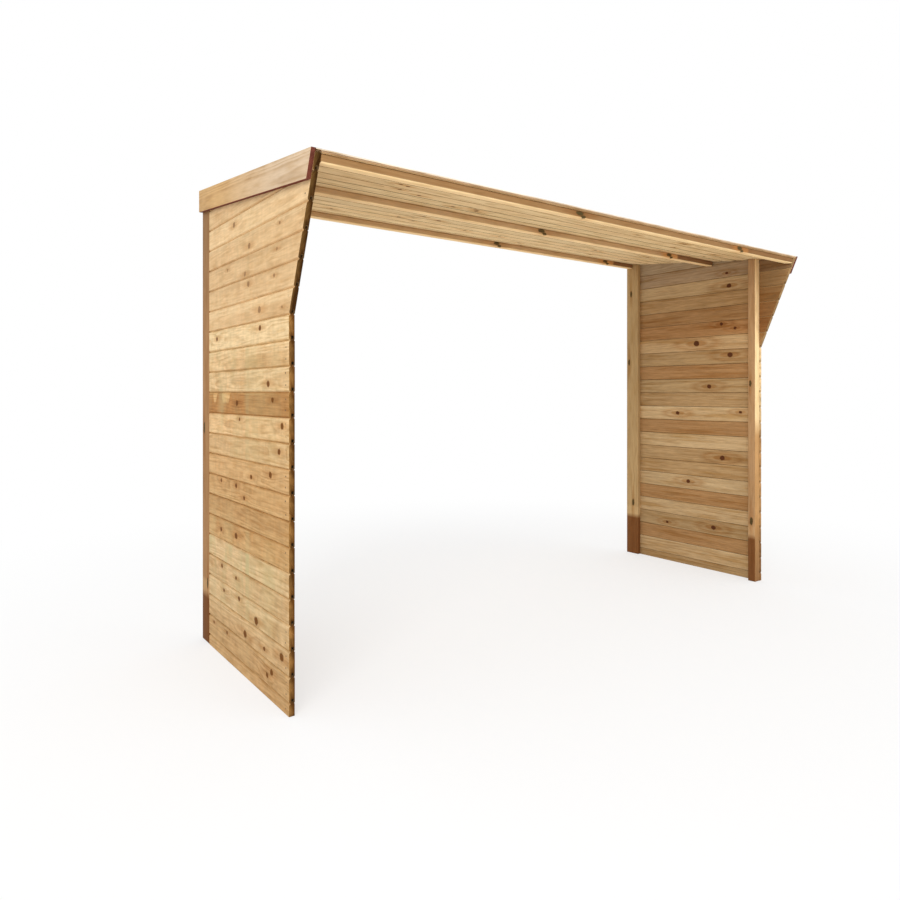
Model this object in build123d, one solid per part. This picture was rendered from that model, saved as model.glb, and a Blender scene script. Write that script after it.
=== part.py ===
"""Log store: a lean-to shelter for firewood, open at the front and the back.

Two boarded side walls stand on the ground, each fixed to a square front post and a deeper rear
post. The right front post is flush with its wall's edge and the left one stands a little inside.
The walls' front edges rise plumb to a knee and then flare forward to carry the roof's overhang.
Three purlins run from side to side under a boarded roof that falls to the front, and a bargeboard
on each wall covers the ends of the roof boards.

Millimetres. X runs along the store, -Y is the open front, +Z is up. The origin is on the ground,
in the middle of the overall box.
"""

from build123d import *
import math
import os

# ---- driving dimensions -----------------------------------------------------------------------
store_length = 2940.0  # between the walls' outer faces
wall_depth = 860.0  # from the plumb front edge to the back ends of the wall boards
eaves_height = 1868.0  # ground to the top of the roof's front edge
flare_reach = 208.0  # how far the roof's front edge stands in front of the plumb edge
roof_pitch = 6.5  # degrees, rising to the back

board_cover = 88.0  # height that one wall board adds
board_gap = 1.0  # open joint between two boards
board_thickness = 21.0
bottom_rip = 44.0  # the lowest board is ripped to this height
courses_to_knee = 15  # whole boards between the ripped board and the knee

roof_thickness = 12.0
roof_board_count = 13  # whole boards that fill the slope, so their cover follows its length

front_post = 45.0  # square
left_post_setback = 110.0  # plumb front edge to the left front post
rear_post_width = 45.0  # along the store
rear_post_depth = 95.0

purlin_width = 50.0
purlin_height = 30.0
front_purlin_setback = 6.0  # the roof's front edge oversails the front purlin by this
middle_purlin_place = 300.0  # plumb front edge to the middle purlin's front face

barge_height = 95.0
barge_thickness = 16.0

# ---- derived values ---------------------------------------------------------------------------
pitch = math.radians(roof_pitch)
knee_height = bottom_rip + courses_to_knee * board_cover
overall_depth = flare_reach + wall_depth + rear_post_depth
front_y = -overall_depth / 2  # the roof's front edge
edge_y = front_y + flare_reach  # the walls' plumb front edge
wall_back_y = edge_y + wall_depth
back_y = wall_back_y + rear_post_depth
outer_x = store_length / 2
inner_x = outer_x - board_thickness
roof_length = (overall_depth - roof_thickness * math.sin(pitch)) / math.cos(pitch)
roof_cover = roof_length / roof_board_count


def height_at(y, below):
    """Height at a depth, a given distance square below the roof's upper face."""
    return eaves_height + (y - front_y) * math.tan(pitch) - below / math.cos(pitch)


def flare_point(below):
    """Where the walls' flared edge meets the plane at a given distance below the roof's face."""
    lean = flare_reach / (eaves_height - knee_height)
    y = edge_y - lean * (height_at(edge_y, below) - knee_height) / (1 + lean * math.tan(pitch))
    return y, height_at(y, below)


def roof_point(along, below):
    """A point measured up the slope from the roof's front edge, and square below its face."""
    y = front_y + along * math.cos(pitch) + below * math.sin(pitch)
    return y, height_at(y, below)


def prism(outline, x_start, x_end):
    """A solid between two places in X, from its outline in Y and Z."""
    corners = [(x_start, y, z) for y, z in outline]
    return extrude(make_face(Polyline(*corners, close=True)), amount=x_end - x_start, dir=(1, 0, 0))


def laid_on_slope(start, width, below, thickness, half_length):
    """A board or bar along X that lies with the roof's slope."""
    low, high = below + thickness, below
    outline = [roof_point(start, low), roof_point(start + width, low)]
    outline += [roof_point(start + width, high), roof_point(start, high)]
    return prism(outline, -half_length, half_length)


# ---- pieces -----------------------------------------------------------------------------------
def wall_courses():
    """The boards of the right-hand wall, lowest first, as (boards up to the knee, boards above)."""
    tip = flare_point(roof_thickness)
    outline = [(edge_y, 0), (wall_back_y, 0), (wall_back_y, height_at(wall_back_y, roof_thickness))]
    outline += [tip, (edge_y, knee_height)]
    wall = prism(outline, inner_x, outer_x)
    lower, upper = [], []
    bottom, top = 0.0, bottom_rip
    while bottom < height_at(wall_back_y, roof_thickness) - board_gap:
        band = Box(2 * store_length, 2 * overall_depth, top - bottom - board_gap)
        board = wall & Pos(0, 0, (top + bottom - board_gap) / 2) * band
        (lower if top <= knee_height else upper).append(board.solid())
        bottom, top = top, top + board_cover
    return lower, upper


def post(x_low, x_high, y_low, y_high):
    """A post from the ground to the underside of the roof, its top cut to the slope."""
    outline = [(y_low, 0), (y_high, 0)]
    outline += [(y, height_at(y, roof_thickness)) for y in (y_high, y_low)]
    return prism(outline, x_low, x_high)


def purlin(start, half_length):
    return laid_on_slope(start, purlin_width, roof_thickness, purlin_height, half_length)


def bargeboard():
    """The board on the right-hand wall's outer face that covers the ends of the roof boards."""
    outline = [(front_y, eaves_height), flare_point(barge_height)]
    outline += [(back_y, height_at(back_y, below)) for below in (barge_height, 0)]
    return prism(outline, outer_x, outer_x + barge_thickness)


def roof_board(number):
    start = number * roof_cover
    return laid_on_slope(start, roof_cover - board_gap, 0, roof_thickness, outer_x)


def both_sides(name, solids):
    """The right-hand piece and its mirror image on the left, as two named nodes."""
    right = Compound(children=solids) if len(solids) > 1 else solids[0]
    return {"right_" + name: right, "left_" + name: mirror(right, about=Plane.YZ)}


def all_nodes():
    lower, upper = wall_courses()
    nodes = both_sides("wall_lower", lower) | both_sides("wall_upper", upper)
    nodes["right_front_post"] = post(inner_x - front_post, inner_x, edge_y, edge_y + front_post)
    left_y = edge_y + left_post_setback
    nodes["left_front_post"] = post(-inner_x, front_post - inner_x, left_y, left_y + front_post)
    nodes |= both_sides("rear_post", [post(outer_x - rear_post_width, outer_x, wall_back_y, back_y)])
    nodes |= both_sides("bargeboard", [bargeboard()])

    below_purlin = roof_thickness + purlin_height
    rear_start = (overall_depth - below_purlin * math.sin(pitch)) / math.cos(pitch) - purlin_width
    middle_start = (flare_reach + middle_purlin_place) / math.cos(pitch)
    nodes["front_purlin"] = purlin(front_purlin_setback, inner_x)
    nodes["middle_purlin"] = purlin(middle_start, inner_x)
    nodes["rear_purlin"] = purlin(rear_start, outer_x - rear_post_width)
    for number in range(roof_board_count):
        nodes[f"roof_board_{number + 1:02d}"] = roof_board(number)
    return nodes


os.makedirs("parts", exist_ok=True)
for node_name, shape in all_nodes().items():
    export_step(shape, f"parts/{node_name}.step")
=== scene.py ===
"""Log store: the looks of a lean-to shelter for firewood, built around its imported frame.

Every board, post and purlin is modelled over its CAD node: tongued and grooved wall boards with
V-joints, eased posts and purlins, lapped roof boards, bargeboards and nail heads. The timber is
pine. Each piece carries its own place in the tree it was sawn from, so that growth rings, knots
and end grain agree on all its faces.

Metres. X runs along the store, -Y is the open front, +Z is up.
"""

import math
import random
from functools import partial

import bmesh
import bpy
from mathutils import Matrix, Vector


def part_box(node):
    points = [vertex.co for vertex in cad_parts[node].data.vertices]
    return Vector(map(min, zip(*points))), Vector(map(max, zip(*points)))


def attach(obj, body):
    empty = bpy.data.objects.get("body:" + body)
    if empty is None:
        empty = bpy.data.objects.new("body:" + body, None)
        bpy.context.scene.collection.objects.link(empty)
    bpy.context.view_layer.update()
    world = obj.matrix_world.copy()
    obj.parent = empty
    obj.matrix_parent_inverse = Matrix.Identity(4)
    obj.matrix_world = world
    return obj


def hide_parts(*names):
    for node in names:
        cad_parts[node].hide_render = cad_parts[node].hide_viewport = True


bl_info = {
    "name": "Log Store",
    "version": (1, 0, 0),
    "blender": (4, 5, 0),
    "location": "3D View > Sidebar > Log Store",
    "description": "Boards, posts, purlins and finishes of a lean-to log store",
    "category": "Object",
}

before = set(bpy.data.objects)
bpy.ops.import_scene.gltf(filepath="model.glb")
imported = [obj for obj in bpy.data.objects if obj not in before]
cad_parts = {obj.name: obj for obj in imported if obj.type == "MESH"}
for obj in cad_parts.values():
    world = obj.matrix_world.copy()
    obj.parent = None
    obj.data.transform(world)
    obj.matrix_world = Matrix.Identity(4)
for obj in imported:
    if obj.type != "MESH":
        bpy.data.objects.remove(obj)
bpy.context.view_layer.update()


# ---- places read from the frame -----------------------------------------------------------------
def corners_of(node):
    """The places of a CAD node's vertices."""
    return [vertex.co.copy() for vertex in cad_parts[node].data.vertices]


barge_corners = corners_of("right_bargeboard")
eaves_corner = min(barge_corners, key=lambda p: (round(p.y, 5), -p.z))
ridge_corner = max(barge_corners, key=lambda p: (round(p.z, 5), p.y))
pitch = math.atan2(ridge_corner.z - eaves_corner.z, ridge_corner.y - eaves_corner.y)
up_slope = Vector((0, math.cos(pitch), math.sin(pitch)))
off_slope = Vector((0, -math.sin(pitch), math.cos(pitch)))
eaves = Vector((0, eaves_corner.y, eaves_corner.z))
x_axis, y_axis, z_axis = Vector((1, 0, 0)), Vector((0, 1, 0)), Vector((0, 0, 1))

wall_low, wall_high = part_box("right_wall_lower")
upper_low, upper_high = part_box("right_wall_upper")
inner_x, outer_x = wall_low.x, wall_high.x
edge_y, wall_back_y = wall_low.y, wall_high.y
front_y, back_y = eaves.y, ridge_corner.y
knee = upper_low.z
# Square to the flared front edge above the knee.
flare_way = Vector((0, knee - eaves.z, front_y - edge_y)).normalized()


def on_slope(point):
    """A point's X, its distance up the slope from the eaves, and its distance below the roof's face."""
    offset = point - eaves
    return Vector((point.x, offset.dot(up_slope), -offset.dot(off_slope)))


def from_slope(x, along, below):
    return Vector((x, 0, 0)) + eaves + along * up_slope - below * off_slope


def slope_box(node):
    """A node's extent as (low, high) in X, up the slope from the eaves and below the roof's face."""
    places = [on_slope(corner) for corner in corners_of(node)]
    return tuple(Vector([way(place[axis] for place in places) for axis in range(3)]) for way in (min, max))


roof_boards = sorted(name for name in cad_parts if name.startswith("roof_board_"))
roof_low, roof_high = slope_box(roof_boards[0])
roof_thickness = roof_high.z
roof_cover = slope_box(roof_boards[1])[0].y - roof_low.y


# ---- sizes and colours --------------------------------------------------------------------------
def linear(hex_colour):
    """A linear RGB colour from an sRGB hex value."""
    channels = [int(hex_colour[i : i + 2], 16) / 255 for i in (1, 3, 5)]
    return tuple(c / 12.92 if c <= 0.04045 else ((c + 0.055) / 1.055) ** 2.4 for c in channels)


def length(label, description, default):
    return bpy.props.FloatProperty(
        name=label, description=description, default=default, min=0.0, precision=4, unit="LENGTH"
    )


def colour(label, description, hex_colour):
    return bpy.props.FloatVectorProperty(
        name=label, description=description, default=linear(hex_colour), size=3, min=0.0, max=1.0,
        subtype="COLOR",
    )


class LogStoreSizes(bpy.types.PropertyGroup):
    """Sizes of the boards' edges, joints and fixings."""

    board_cover: length("Board cover", "Height that one wall board adds", 0.088)
    joint_gap: length("Joint gap", "Gap left between two wall boards", 0.0003)
    v_joint: length("V-joint", "Chamfer along the outer edges of a wall board", 0.0055)
    inner_chamfer: length("Inner chamfer", "Chamfer along the inner edges of a wall board", 0.0025)
    tongue_thickness: length("Tongue thickness", "Thickness of a wall board's tongue", 0.006)
    tongue_height: length("Tongue height", "How far the tongue stands up", 0.005)
    tongue_depth: length("Tongue place", "Outer face to the middle of the tongue", 0.0135)
    groove_width: length("Groove width", "Width of the groove under a wall board", 0.0095)
    groove_depth: length("Groove depth", "Depth of the groove under a wall board", 0.015)
    board_arris: length("Board arris", "Rounding of a board's sawn edges", 0.0006)
    post_arris: length("Post arris", "Rounding of the posts' edges", 0.003)
    purlin_arris: length("Purlin arris", "Rounding of the purlins' edges", 0.007)
    trim_arris: length("Bargeboard arris", "Rounding of the bargeboards' edges", 0.0015)
    roof_lap: length("Roof lap", "How far a roof board's tongue reaches into the next board", 0.005)
    roof_chamfer: length("Roof chamfer", "Chamfer along the roof boards' lower edges", 0.003)
    nail_radius: length("Nail head radius", "Radius of a nail's head", 0.003)
    nail_stand: length("Nail head height", "How far a nail's head stands out", 0.0003)


class LogStoreColours(bpy.types.PropertyGroup):
    """Colours of the timber on each kind of face."""

    cladding_high: colour("Cladding, high", "Outside of the walls above the knee", "#dfbb8c")
    cladding_knee: colour("Cladding, knee", "Outside of the board just below the knee", "#e8ca9b")
    cladding_upper: colour("Cladding, upper", "Outside of the boards at chest height", "#e2c090")
    cladding_middle: colour("Cladding, middle", "Outside of the boards at waist height", "#d9b382")
    cladding_worn: colour("Cladding, worn", "Outside of the boards at hip height", "#c49a67")
    cladding_green: colour("Cladding, green", "Outside of the boards with most preservative", "#d4b284")
    cladding_low: colour("Cladding, low", "Outside of the walls at the ground", "#c6a172")
    cladding_dark: colour("Cladding, heartwood", "Outside of the dark heartwood boards", "#b4814b")
    inside_pale: colour("Inside, pale", "Inside of the palest boards", "#c3a57b")
    inside_plain: colour("Inside, plain", "Inside of most boards", "#b09066")
    inside_grey: colour("Inside, grey", "Inside of the boards under the roof", "#a79073")
    inside_red: colour("Inside, red", "Inside of the heartwood boards", "#ab8155")
    framing: colour("Framing", "Front posts and the purlins' faces", "#b68c5d")
    framing_worn: colour("Framing, worn", "Left rear post", "#a47b52")
    framing_green: colour("Framing, green", "Right rear post", "#b8996c")
    framing_dark: colour("Framing, dark", "Feet of the posts and right ends of the purlins", "#7a4f2c")
    # Painted highlight: a paler colour given to the front posts' front faces above the waist and to the
    # purlins' undersides, in place of light.
    framing_painted_highlight: colour("Framing, fresh", "Freshly planed faces of the framing", "#ffdea8")
    # Painted shade: the front posts' and the right wall's front faces are darker below the waist, in place
    # of shade.
    framing_painted_shade: colour("Framing, mellow", "Front posts' front faces below the waist", "#c99b66")
    # Painted light: the undersides are paler than the tops, lifted against the shade under the roof.
    roofing: colour("Roofing", "Undersides of the roof boards", "#efd2a0")
    roofing_top: colour("Roofing, top", "Tops of the roof boards", "#d8b481")
    roofing_joint: colour("Roofing joint", "Edges of the roof boards", "#5e4022")
    # Painted highlight: the roof's front edge is paler than its wood, against the shade on it.
    roof_edge_highlight: colour("Roofing edge", "Front edge of the roof", "#ecdcc6")
    trim_front: colour("Bargeboard, front", "Front third of the bargeboards", "#d2b99b")
    trim_back: colour("Bargeboard, back", "Back of the bargeboards", "#cfa874")
    # Dark end grain on the sawn ends; on the undersides it is painted shade.
    trim_end_and_underside_shade: colour("Bargeboard end", "The bargeboards' sawn ends and undersides", "#7a4438")
    end_grain: colour("End grain", "Sawn ends, dark with preservative", "#62401d")
    end_rim: colour("End grain rim", "Outer rim of the wall boards' sawn ends", "#a07844")
    knot: colour("Knot", "Heart of a knot", "#6e4013")
    inner_knot: colour("Inner knot", "Heart of a knot inside the walls", "#532b19")
    framing_knot: colour("Framing knot", "Heart of a knot in the framing", "#4d4225")
    knot_rim: colour("Knot rim", "Bark ring round a knot", "#4c2f12")
    resin_green: colour("Preservative", "Green tint that preservative leaves", "#b9b080")
    zinc_dark: colour("Zinc, dark", "Nail heads where the wood has stained them", "#4a3826")
    zinc: colour("Zinc", "Nail heads", "#7b6c59")


# ---- modelling ----------------------------------------------------------------------------------
SMOOTH_BELOW = math.radians(35)


def start_block(name, low, high, tilt=0.0):
    """Adds a block between two corners, turned about X through its middle, and starts editing it."""
    bpy.ops.object.select_all(action="DESELECT")
    low, high = Vector(low), Vector(high)
    bpy.ops.mesh.primitive_cube_add(
        size=1.0, location=(low + high) / 2, rotation=(tilt, 0, 0), scale=high - low
    )
    piece = bpy.context.active_object
    piece.name = piece.data.name = name
    bpy.ops.object.transform_apply(location=True, rotation=True, scale=True)
    bpy.ops.object.mode_set(mode="EDIT")
    return piece


def start_slope_block(name, low, high):
    """A block that lies with the roof, from its extent as slope_box gives it."""
    middle = from_slope(*((low + high) / 2))
    half = (high - low) / 2
    return start_block(name, middle - half, middle + half, pitch)


def copy_piece(master):
    """Copies a finished master with its own mesh, and makes the copy active."""
    bpy.ops.object.select_all(action="DESELECT")
    master.select_set(True)
    bpy.context.view_layer.objects.active = master
    bpy.ops.object.duplicate(linked=False)
    return bpy.context.active_object


def copy_to_edit(master, name):
    """Copies a finished master under a name and starts editing the copy."""
    piece = copy_piece(master)
    piece.name = piece.data.name = name
    bpy.ops.object.mode_set(mode="EDIT")
    return piece


def remove_master(master):
    bpy.data.meshes.remove(master.data)


def select(piece, kind, test):
    """Selects the piece's verts, edges or faces that pass a test, in edit mode."""
    bpy.ops.mesh.select_mode(type={"verts": "VERT", "edges": "EDGE", "faces": "FACE"}[kind])
    bpy.ops.mesh.select_all(action="DESELECT")
    mesh = bmesh.from_edit_mesh(piece.data)
    for part in getattr(mesh, kind):
        if test(part):
            part.select_set(True)
    bmesh.update_edit_mesh(piece.data)


def cut(point, normal, clear=False):
    """Cuts along a plane; clear takes off what the normal points to and closes the end."""
    bpy.ops.mesh.select_all(action="SELECT")
    bpy.ops.mesh.bisect(
        plane_co=point, plane_no=normal, use_fill=clear, clear_outer=clear, threshold=0.00001
    )


def move_all(offset):
    bpy.ops.mesh.select_all(action="SELECT")
    bpy.ops.transform.translate(value=offset)


def pull_out(offset):
    bpy.ops.mesh.extrude_region_move(TRANSFORM_OT_translate={"value": offset})


def chamfer_edges(piece, width, run, touches):
    """Chamfers the edges that run along an axis and whose corners all pass a test."""
    select(
        piece, "edges",
        lambda edge: abs((edge.verts[1].co - edge.verts[0].co).normalized().dot(run)) > 0.999
        and all(touches(vertex.co) for vertex in edge.verts),
    )
    bpy.ops.mesh.bevel(offset=width, segments=1, affect="EDGES", clamp_overlap=False)


def round_edges(piece, width, segments, angle):
    """Rounds every edge sharper than an angle in degrees with a bevel modifier, which is applied."""
    bpy.ops.object.mode_set(mode="OBJECT")
    bevel = piece.modifiers.new("arris", "BEVEL")
    bevel.width = width
    bevel.segments = segments
    bevel.limit_method = "ANGLE"
    bevel.angle_limit = math.radians(angle)
    bevel.use_clamp_overlap = True
    bpy.ops.object.modifier_apply(modifier=bevel.name)
    bpy.ops.object.shade_smooth_by_angle(angle=SMOOTH_BELOW)


# ---- what a piece carries -----------------------------------------------------------------------
KNOTS_PER_PIECE = 4
NO_KNOT = Vector((0, 0, 0.00001))
PALE_SAPWOOD = (1.08, 1.12, 1.16)
# Metres between which each piece is drawn a height in its tree, so that no two look alike.
UP_THE_TREE = (-8, 8)


def carry(piece, name, value):
    """Writes one vector on every vertex of the piece."""
    attribute = piece.data.attributes.new(name, "FLOAT_VECTOR", "POINT")
    attribute.data.foreach_set("vector", list(value) * len(piece.data.vertices))


def lay_grain(piece, along, across, heart, knots=(), flame=None, rise=0.0, heartwood=(1.0, 0.0, 0.0)):
    """Gives each vertex its place in the tree, and the piece its knots, flame and heartwood.

    heart is a point on the tree's centre line and along is the way the tree grew. A knot is (a
    point on it, its radius) and runs square to along and across. A flame is the middle of nested
    ovals on the face, where the log bulged by rise rings. Heartwood is how far it reaches from the
    heart, how deep the sapwood's lobes cut into it, and where along the board they are.
    """
    deep = along.cross(across)
    place = piece.data.attributes.new("timber", "FLOAT_VECTOR", "POINT")
    for vertex in piece.data.vertices:
        offset = vertex.co - heart
        place.data[vertex.index].vector = (offset.dot(along), offset.dot(across), offset.dot(deep))
    for number in range(KNOTS_PER_PIECE):
        knot = NO_KNOT
        if number < len(knots):
            point, radius = knots[number]
            knot = Vector(((point - heart).dot(along), (point - heart).dot(across), radius))
        carry(piece, f"knot_{number}", knot)
    bulge = (flame or heart) - heart
    carry(piece, "flame", (bulge.dot(along), bulge.dot(across), rise))
    carry(piece, "heartwood", heartwood)


def stain(piece, colour_at, sapwood=PALE_SAPWOOD):
    """Gives each corner of a face its colour, in alpha how green it is, and the sapwood's tint."""
    mesh = piece.data
    attribute = mesh.attributes.new("stain", "FLOAT_COLOR", "CORNER")
    for face in mesh.polygons:
        for corner in face.loop_indices:
            point = mesh.vertices[mesh.loops[corner].vertex_index].co
            attribute.data[corner].color = colour_at(point, face)
    carry(piece, "sapwood", sapwood)


def tinted(base, tints):
    """A colour with each channel at its own level."""
    return tuple(channel * tint for channel, tint in zip(base, tints))


def reddened(base, redness):
    """A colour a little redder, or a little paler and cooler where redness is below 0."""
    return tinted(base, (1 + 0.3 * redness, 1 - redness, 1 - 2 * redness))


def shade(base, level=1.0, green=0.0):
    """A colour at a level, with its share of green as alpha."""
    return (*(channel * level for channel in base), green)


def blend_colours(first, second, share):
    share = min(1.0, max(0.0, share))
    return tuple(a + (b - a) * share for a, b in zip(first, second))


def colour_along(stops, place):
    """The colour at a place between stops, each (place, colour)."""
    for (start, first), (end, second) in zip(stops, stops[1:]):
        if place <= end:
            return blend_colours(first, second, (place - start) / (end - start))
    return stops[-1][1]


def finish_piece(piece, materials, material_of_face, nodes):
    """Gives the piece its materials face by face, and ties it to the frame."""
    for material in materials:
        piece.data.materials.append(material)
    for face in piece.data.polygons:
        face.material_index = material_of_face(face)
    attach(piece, "root")
    if nodes:
        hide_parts(*nodes)


def faces_along(axis, limit=0.9):
    """1, the end grain's material, for the faces square to an axis, and 0 for the rest."""
    return lambda face: int(abs(face.normal.dot(axis)) > limit)


# ---- materials ----------------------------------------------------------------------------------
SMOOTH = {"interpolation_type": "SMOOTHSTEP"}
COLOUR_MIX = {"data_type": "RGBA"}
MULTIPLY_MIX = {"data_type": "RGBA", "blend_type": "MULTIPLY"}


def add_node(tree, kind, sources=(), output=0, stops=(), **settings):
    """Adds a node and gives its output: sources are its sockets' links or values, in order or by socket.

    Stops are its colour ramp's, and settings its properties.
    """
    node = tree.nodes.new("ShaderNode" + kind)
    for setting, value in settings.items():
        setattr(node, setting, value)
    by_socket = sources if isinstance(sources, dict) else dict(enumerate(sources))
    for socket, source in by_socket.items():
        if isinstance(source, bpy.types.NodeSocket):
            tree.links.new(source, node.inputs[socket])
        else:
            node.inputs[socket].default_value = source
    for number, (position, stop_colour) in enumerate(stops):
        elements = node.color_ramp.elements
        stop = elements[number] if number < len(elements) else elements.new(position)
        stop.position = position
        stop.color = stop_colour
    return node.outputs[output] if node.outputs else None


def grey(level):
    return (level, level, level, 1.0)


def new_material(name):
    """An empty material, and a short way to add nodes to it."""
    material = bpy.data.materials.new(name)
    material.use_nodes = True
    material.node_tree.nodes.clear()
    return material, partial(add_node, material.node_tree)


def knot_reach(add, place, squeeze):
    """Distance from the nearest knot's centre in knot radii, with lengths along the grain squeezed."""
    flatten = (squeeze, 1.0, 0.0)
    # Knots' edges wander by up to 4.5 mm, in waves 10 mm long.
    ragged_by = 0.009
    ragged = add("TexNoise", {"Vector": place, "Scale": 95.0, "Detail": 2.0}, "Color")
    moved = add("VectorMath", (ragged, (ragged_by,) * 3, place), operation="MULTIPLY_ADD")
    centred = add("VectorMath", (moved, (ragged_by / 2,) * 3), operation="SUBTRACT")
    flat = add("VectorMath", (centred, flatten), operation="MULTIPLY")
    nearest = None
    for number in range(KNOTS_PER_PIECE):
        knot = add("Attribute", output="Vector", attribute_name=f"knot_{number}")
        centre = add("VectorMath", (knot, flatten), operation="MULTIPLY")
        gap = add("VectorMath", (flat, centre), "Value", operation="DISTANCE")
        radius = add("SeparateXYZ", (knot,), "Z")
        reach = add("Math", (gap, radius), operation="DIVIDE")
        if nearest is not None:
            reach = add("Math", (nearest, reach), operation="MINIMUM")
        nearest = reach
    return nearest


def flame_rise(add, place):
    """Rings that the log's bulge adds round the middle of the piece's flame."""
    flame_length, flame_reach = 0.13, 0.055
    flame = add("Attribute", output="Vector", attribute_name="flame")
    gap = add("VectorMath", (place, flame), operation="SUBTRACT")
    oval = add("VectorMath", (gap, (flame_length, 1.0, 0.0)), operation="MULTIPLY")
    reach = add("VectorMath", (oval,), "Value", operation="LENGTH")
    rise = add("SeparateXYZ", (flame,), "Z")
    falloff = add("MapRange", (reach, 0.0, flame_reach, 1.0, 0.0), **SMOOTH)
    return add("Math", (falloff, rise), operation="MULTIPLY")


def bent_radius(add, place, wander_reach):
    """Distance from the tree's centre line, which wanders over about 0.4 m of its height."""
    stretched = add("VectorMath", (place, (2.4, 11.0, 11.0)), operation="MULTIPLY")
    noise = add("TexNoise", {"Vector": stretched, "Scale": 1.0, "Detail": 2.0}, "Color")
    centred = add("VectorMath", (noise, (0.5, 0.5, 0.5)), operation="SUBTRACT")
    drift = add("VectorMath", (centred, (0, wander_reach, wander_reach)), operation="MULTIPLY")
    bent = add("VectorMath", (place, drift), operation="ADD")
    square = add("VectorMath", (bent, (0.0, 1.0, 1.0)), operation="MULTIPLY")
    return add("VectorMath", (square,), "Value", operation="LENGTH")


def growth_rings(add, place, radius, reach, ring_width):
    """Share of dark summer wood: rings round the heart that bulge at the flame and round the knots."""
    log_taper, uneven_years = 0.012, 2.2
    height = add("SeparateXYZ", (place,), "X")
    taper = add("Math", (height, log_taper, radius), operation="MULTIPLY_ADD")
    count = add("Math", (taper, ring_width), operation="DIVIDE")
    swell = add("MapRange", (reach, 0.6, 3.2, 0.8, 0.0), interpolation_type="SMOOTHERSTEP")
    swollen = add("Math", (count, swell), operation="ADD")
    phase = add("Math", (swollen, flame_rise(add, place)), operation="ADD")
    years = add("TexNoise", {"W": phase, "Scale": 0.45, "Detail": 1.0}, noise_dimensions="1D")
    uneven = add("Math", (years, uneven_years, phase), operation="MULTIPLY_ADD")
    ring = add("Math", (uneven,), operation="FRACT")
    levels = ((0.0, 0.25), (0.12, 0.0), (0.45, 0.12), (0.86, 1.0), (0.95, 0.8), (1.0, 0.25))
    return add("ValToRGB", (ring,), stops=[(position, grey(level)) for position, level in levels])


def sapwood_split(add, place, radius):
    """The tint of sapwood, paler and yellower, beyond an uneven line that follows the rings."""
    heartwood = add("Attribute", output="Vector", attribute_name="heartwood")
    line, lobe_depth, lobe_place = add("SeparateXYZ", (heartwood,)).node.outputs
    height = add("SeparateXYZ", (place,), "X")
    # Lobes about 110 mm apart, over some 300 mm of the board.
    lobes = add("TexNoise", {"W": height, "Scale": 9.0, "Detail": 1.0}, noise_dimensions="1D")
    lobe_level = add("MapRange", (lobes, 0.5, 0.68), **SMOOTH)
    from_lobes = add("Math", (height, lobe_place), operation="SUBTRACT")
    lobe_gap = add("Math", (from_lobes,), operation="ABSOLUTE")
    near_lobes = add("MapRange", (lobe_gap, 0.13, 0.17, 1.0, 0.0))
    lobe_share = add("Math", (lobe_level, near_lobes), operation="MULTIPLY")
    lobe = add("Math", (lobe_share, lobe_depth, radius), operation="MULTIPLY_ADD")
    beyond = add("Math", (lobe, line), operation="SUBTRACT")
    sap_share = add("MapRange", (beyond, -0.006, 0.005), **SMOOTH)
    sap_tint = add("Attribute", output="Vector", attribute_name="sapwood")
    return add("Mix", {0: sap_share, 6: grey(1.0), 7: sap_tint}, 2, **COLOUR_MIX)


def preservative_share(add, green):
    """How green the wood is: preservative ran down the wall before it dried, across the joints."""
    # Runs about 110 mm wide and 290 mm long, and one down the whole wall.
    longest_run_y = 0.02
    wall_place = add("TexCoord", output="Object")
    run_place = add("VectorMath", (wall_place, (1.0, 9.0, 3.5)), operation="MULTIPLY")
    runs = add("TexNoise", {"Vector": run_place, "Scale": 1.0, "Detail": 3.0})
    run_level = add("MapRange", (runs, 0.42, 0.66))
    back = add("SeparateXYZ", (wall_place,), "Y")
    from_run = add("Math", (back, longest_run_y), operation="SUBTRACT")
    off_run = add("Math", (from_run,), operation="ABSOLUTE")
    run_share = add("MapRange", (off_run, 0.008, 0.035, 1.2, 0.0), **SMOOTH)
    most_run = add("Math", (run_level, run_share), operation="MAXIMUM")
    return add("Math", (green, most_run), operation="MULTIPLY", use_clamp=True)


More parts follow.
